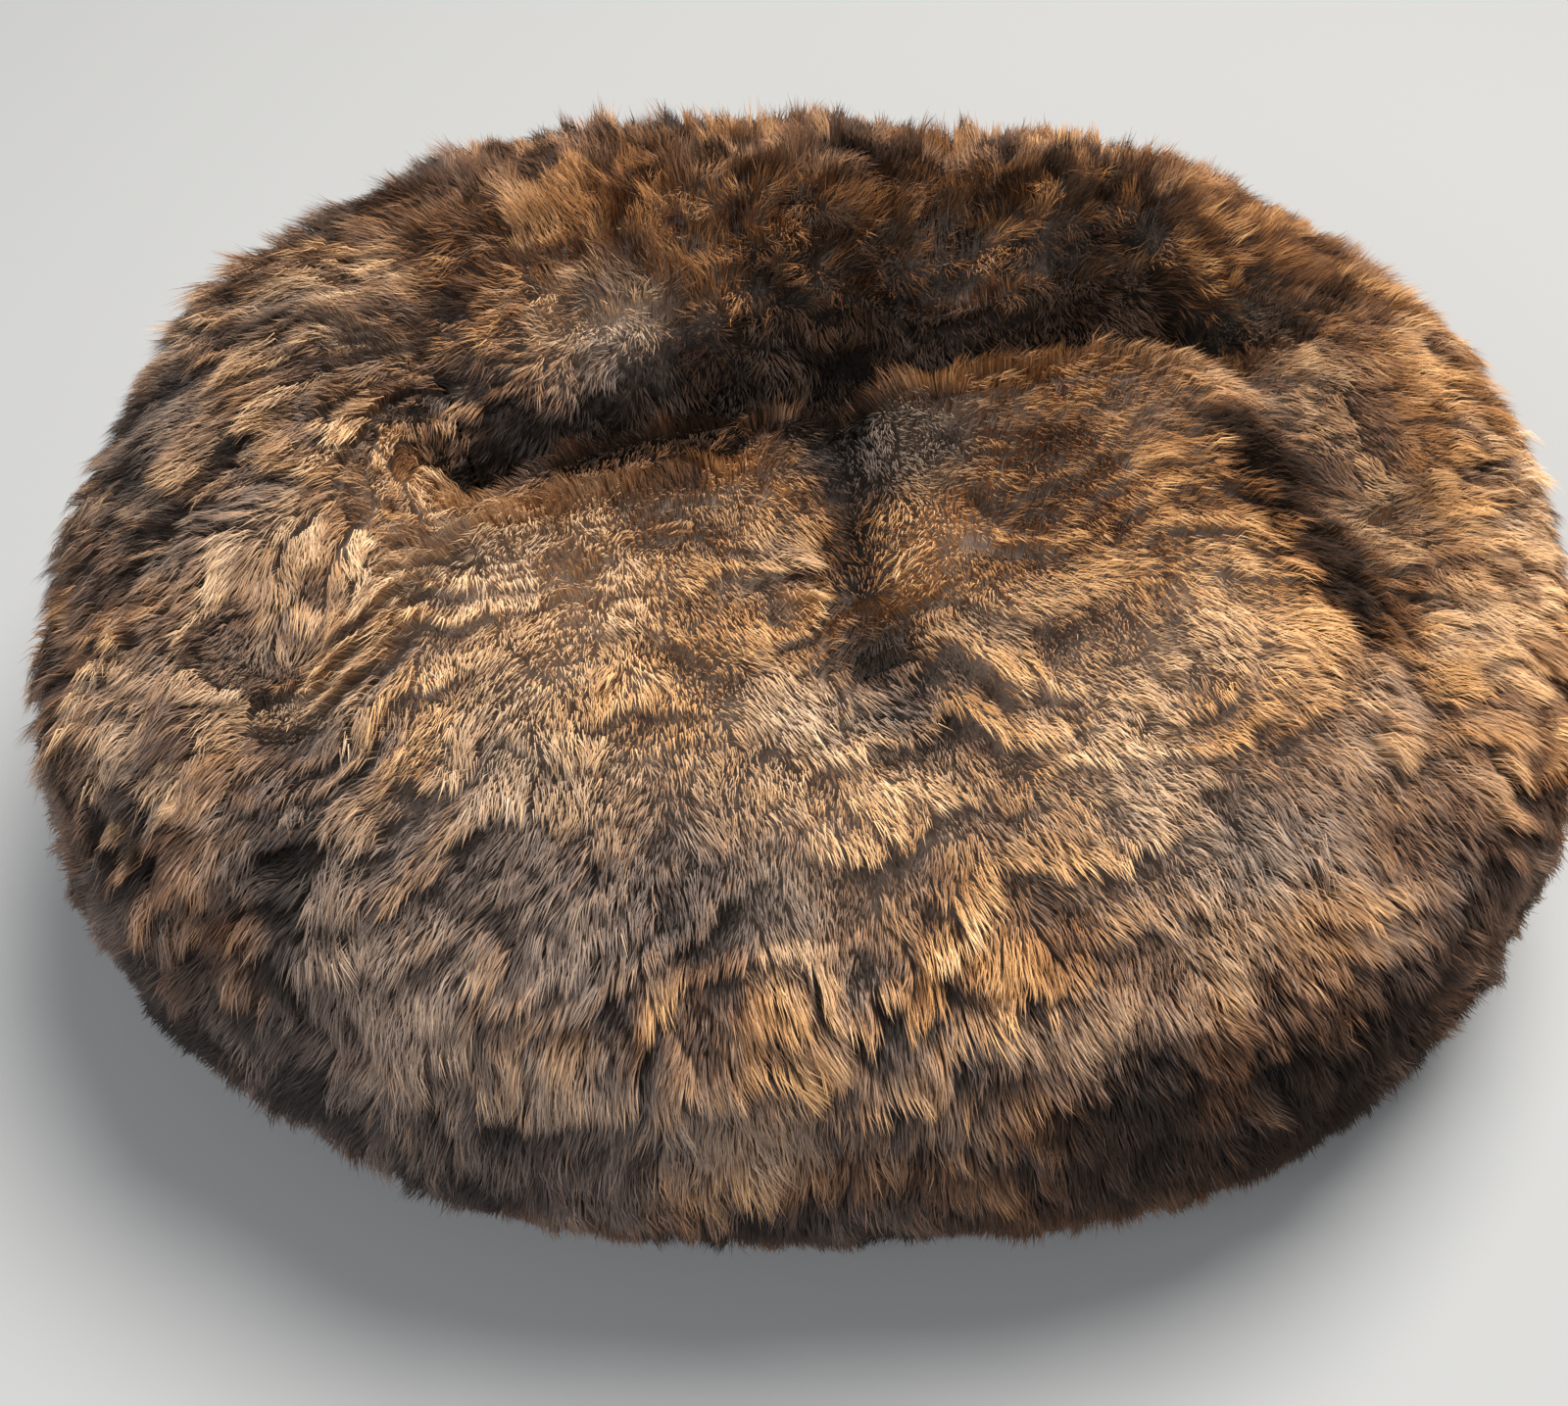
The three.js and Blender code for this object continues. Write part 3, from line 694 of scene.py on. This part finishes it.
def pelt_material(name):
    """Dense dark underfur outside, suede skin inside."""
    m, nodes, links, bsdf = new_material(name)
    at = nodes.new("ShaderNodeTexCoord")

    def grain(scale, detail):
        k = nodes.new("ShaderNodeTexNoise")
        k.inputs["Scale"].default_value = scale
        k.inputs["Detail"].default_value = detail
        links.new(at.outputs["Object"], k.inputs["Vector"])
        return k.outputs["Fac"]

    under = ramp(nodes, [(0.1, (.008, .006, .005)), (0.4, (.040, .030, .026)), (0.9, (.230, .172, .135))])
    coat = nodes.new("ShaderNodeAttribute")
    coat.attribute_name = "tone"
    speck = nodes.new("ShaderNodeMath")
    speck.operation = "MULTIPLY_ADD"
    links.new(grain(420, 6), speck.inputs[0])
    speck.inputs[1].default_value = 0.4
    links.new(coat.outputs["Fac"], speck.inputs[2])
    less = nodes.new("ShaderNodeMath")
    less.operation = "SUBTRACT"
    links.new(speck.outputs["Value"], less.inputs[0])
    less.inputs[1].default_value = 0.2
    links.new(less.outputs["Value"], under.inputs["Fac"])
    suede = ramp(nodes, [(0.25, (.27, .175, .11)), (0.5, (.37, .255, .165)), (0.75, (.46, .33, .225))])
    links.new(grain(38, 8), suede.inputs["Fac"])
    side = nodes.new("ShaderNodeAttribute")
    side.attribute_name = "skin"
    mix = nodes.new("ShaderNodeMix")
    mix.data_type = "RGBA"
    links.new(side.outputs["Fac"], mix.inputs["Factor"])
    links.new(under.outputs["Color"], mix.inputs["A"])
    links.new(suede.outputs["Color"], mix.inputs["B"])
    links.new(mix.outputs["Result"], bsdf.inputs["Base Color"])
    bump = nodes.new("ShaderNodeBump")
    bump.inputs["Strength"].default_value = 0.35
    bump.inputs["Distance"].default_value = 0.0006
    links.new(grain(900, 5), bump.inputs["Height"])
    links.new(bump.outputs["Normal"], bsdf.inputs["Normal"])
    bsdf.inputs["Roughness"].default_value = 0.9
    bsdf.inputs["Specular IOR Level"].default_value = 0.2
    return m


# ---------------------------------------------------------------- pieces
def finish_piece(ob, node, material):
    ob.data.materials.append(material)
    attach(ob, "root")
    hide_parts(node)


SLOTS = {"crown_near": "fur_near", "crown_far": "fur_far", "crown_left": "fur_left", "crown_right": "fur_right"}
FINE = {"crown_near": (110, 120), "crown_far": (110, 120), "crown_left": (90, 90), "crown_right": (90, 80)}
COARSE = {"crown_near": (44, 56), "crown_far": (44, 56), "crown_left": (34, 44), "crown_right": (34, 40)}
seeds = {"crown_near": 101, "crown_far": 202, "crown_left": 303, "crown_right": 404, "band_front": 505, "band_back": 606}

for panel, slot in SLOTS.items():
    pelt = Pelt(crown_grid(panel, *FINE[panel], 0.0))
    ob = comb(panel, pelt, COATS[panel], seeds[panel], crown_groom)
    finish_piece(ob, panel, fur_material(slot))
    rows, cols = COARSE[panel]
    base = Pelt(crown_grid(panel, rows, cols, 0.0))
    outer = base.p - base.n * (PILE - 0.6)
    inner = crown_grid(panel, rows, cols, WALL)
    ob = shell_object("pelt_" + panel, outer, inner)
    finish_piece(ob, panel, pelt_material("pelt_" + panel))

# side band: fur down the outside and under the rim, in a front and a back piece
RING = 5
for part, lo, hi in (("band_front", 180.0, 360.0), ("band_back", 0.0, 180.0)):
    deg = np.linspace(lo, hi, 241)
    wrap = np.where(deg >= 398, deg - 360, np.where(deg < 38, deg + 360, deg))
    side = band_lines(np.where(wrap >= 398, wrap - 360, wrap), 0.0, 26, 34)
    edge, hole = side[-1, :, :2], mouth(deg, 8.0)
    ring = [np.concatenate([edge + (hole - edge) * k / RING, np.zeros((len(deg), 1))], 1) for k in range(1, RING + 1)]
    pelt = Pelt(np.concatenate([side, np.stack(ring)]))
    weight = np.ones_like(pelt.area)
    weight[-RING - 4:] = 0.45
    ob = comb(part, pelt, COATS[part], seeds[part], band_groom, weight)
    finish_piece(ob, "side_band", fur_material("fur_" + part))

deg = np.linspace(38.0, 398.0, 181)[:-1]
side = band_lines(deg, 0.0, 12, 16)
g = Pelt(np.concatenate([side, side[:, :1]], 1))
outer = (g.p - g.n * (PILE - 0.6))[:, :-1]
outer[..., 2] = np.maximum(outer[..., 2], 2.6)
lip = mouth(deg, 2.0)
outer = np.concatenate([outer, np.concatenate([(outer[-1, :, :2] + lip) / 2, np.full((len(deg), 1), 2.4)], 1)[None]])
rows_in = outer.shape[0] - 1
inner_low = []
wx, wy = outline(deg, WALL)
hole = mouth(deg)
for i in range(13):
    k = i / 12
    f = math.sin(k * math.pi / 2)
    inner_low.append(np.stack([hole[:, 0] + (wx - hole[:, 0]) * f, hole[:, 1] + (wy - hole[:, 1]) * f, np.full(len(deg), 2.4 + (BULGE_HEIGHT - 2.4) * k)], -1))
up = band_lines(deg, WALL, rows_in - 12, 1)[: rows_in - 12 + 1]
inner = np.concatenate([up, np.stack(inner_low[::-1])[1:]])
ob = shell_object("pelt_side_band", outer, inner, closed=True)
finish_piece(ob, "side_band", pelt_material("pelt_side_band"))

# ---------------------------------------------------------------- stage, light and camera
floor_mesh = bpy.data.meshes.new("floor")
floor_mesh.from_pydata([(-4, -4, 0), (4, -4, 0), (4, 4, 0), (-4, 4, 0)], [], [(0, 1, 2, 3)])
floor = bpy.data.objects.new("floor", floor_mesh)
bpy.context.scene.collection.objects.link(floor)
m, nodes, links, bsdf = new_material("floor")
bsdf.inputs["Base Color"].default_value = (.28, .29, .30, 1)
bsdf.inputs["Roughness"].default_value = 0.75
floor_mesh.materials.append(m)


def area_light(name, place, target, size, watts, colour):
    data = bpy.data.lights.new(name, "AREA")
    data.shape, data.size, data.energy, data.color = "DISK", size, watts, colour
    ob = bpy.data.objects.new(name, data)
    ob.location = place
    ob.rotation_euler = (Vector(target) - Vector(place)).to_track_quat("-Z", "Y").to_euler()
    bpy.context.scene.collection.objects.link(ob)


area_light("key", (0.22, 0.22, 1.0), (0.0, -0.02, 0.08), 0.55, 23.0, (1.0, 0.95, 0.88))
area_light("fill", (-0.5, -0.8, 0.75), (0.0, 0.0, 0.05), 0.9, 9.0, (0.97, 0.98, 1.0))
bpy.context.scene.view_settings.view_transform = "Standard"
world = bpy.data.worlds.new("studio")
bpy.context.scene.world = world
world.use_nodes = True
world.node_tree.nodes["Background"].inputs["Color"].default_value = (1.0, .98, .95, 1)
world.node_tree.nodes["Background"].inputs["Strength"].default_value = 0.35

# The camera looks down on the near side of the crease. Its height above the floor and distance follow the view's outline.
ELEVATION, DISTANCE, FIELD = 51.0, 0.4392, 36.0
OFF_RIGHT, OFF_UP = 22.8 / 1435, 72.1 / 1435       # where the aim point stands in the image, from its middle
el = math.radians(ELEVATION)
aim = Vector((0.0, 0.0, 0.05))
forward = Vector((0, math.cos(el), -math.sin(el)))
right, up = Vector((1, 0, 0)), Vector((0, math.sin(el), math.cos(el)))
focal = 0.5 / math.tan(math.radians(FIELD) / 2)
look = (forward - right * (OFF_RIGHT / focal) - up * (OFF_UP / focal)).normalized()
cam_data = bpy.data.cameras.new("camera")
cam_data.sensor_fit = "VERTICAL"
cam_data.angle = math.radians(FIELD)
cam_data.clip_start = 0.01
cam = bpy.data.objects.new("camera", cam_data)
cam.location = aim - forward * DISTANCE
cam.rotation_euler = look.to_track_quat("-Z", "Y").to_euler()
bpy.context.scene.collection.objects.link(cam)
bpy.context.scene.camera = cam
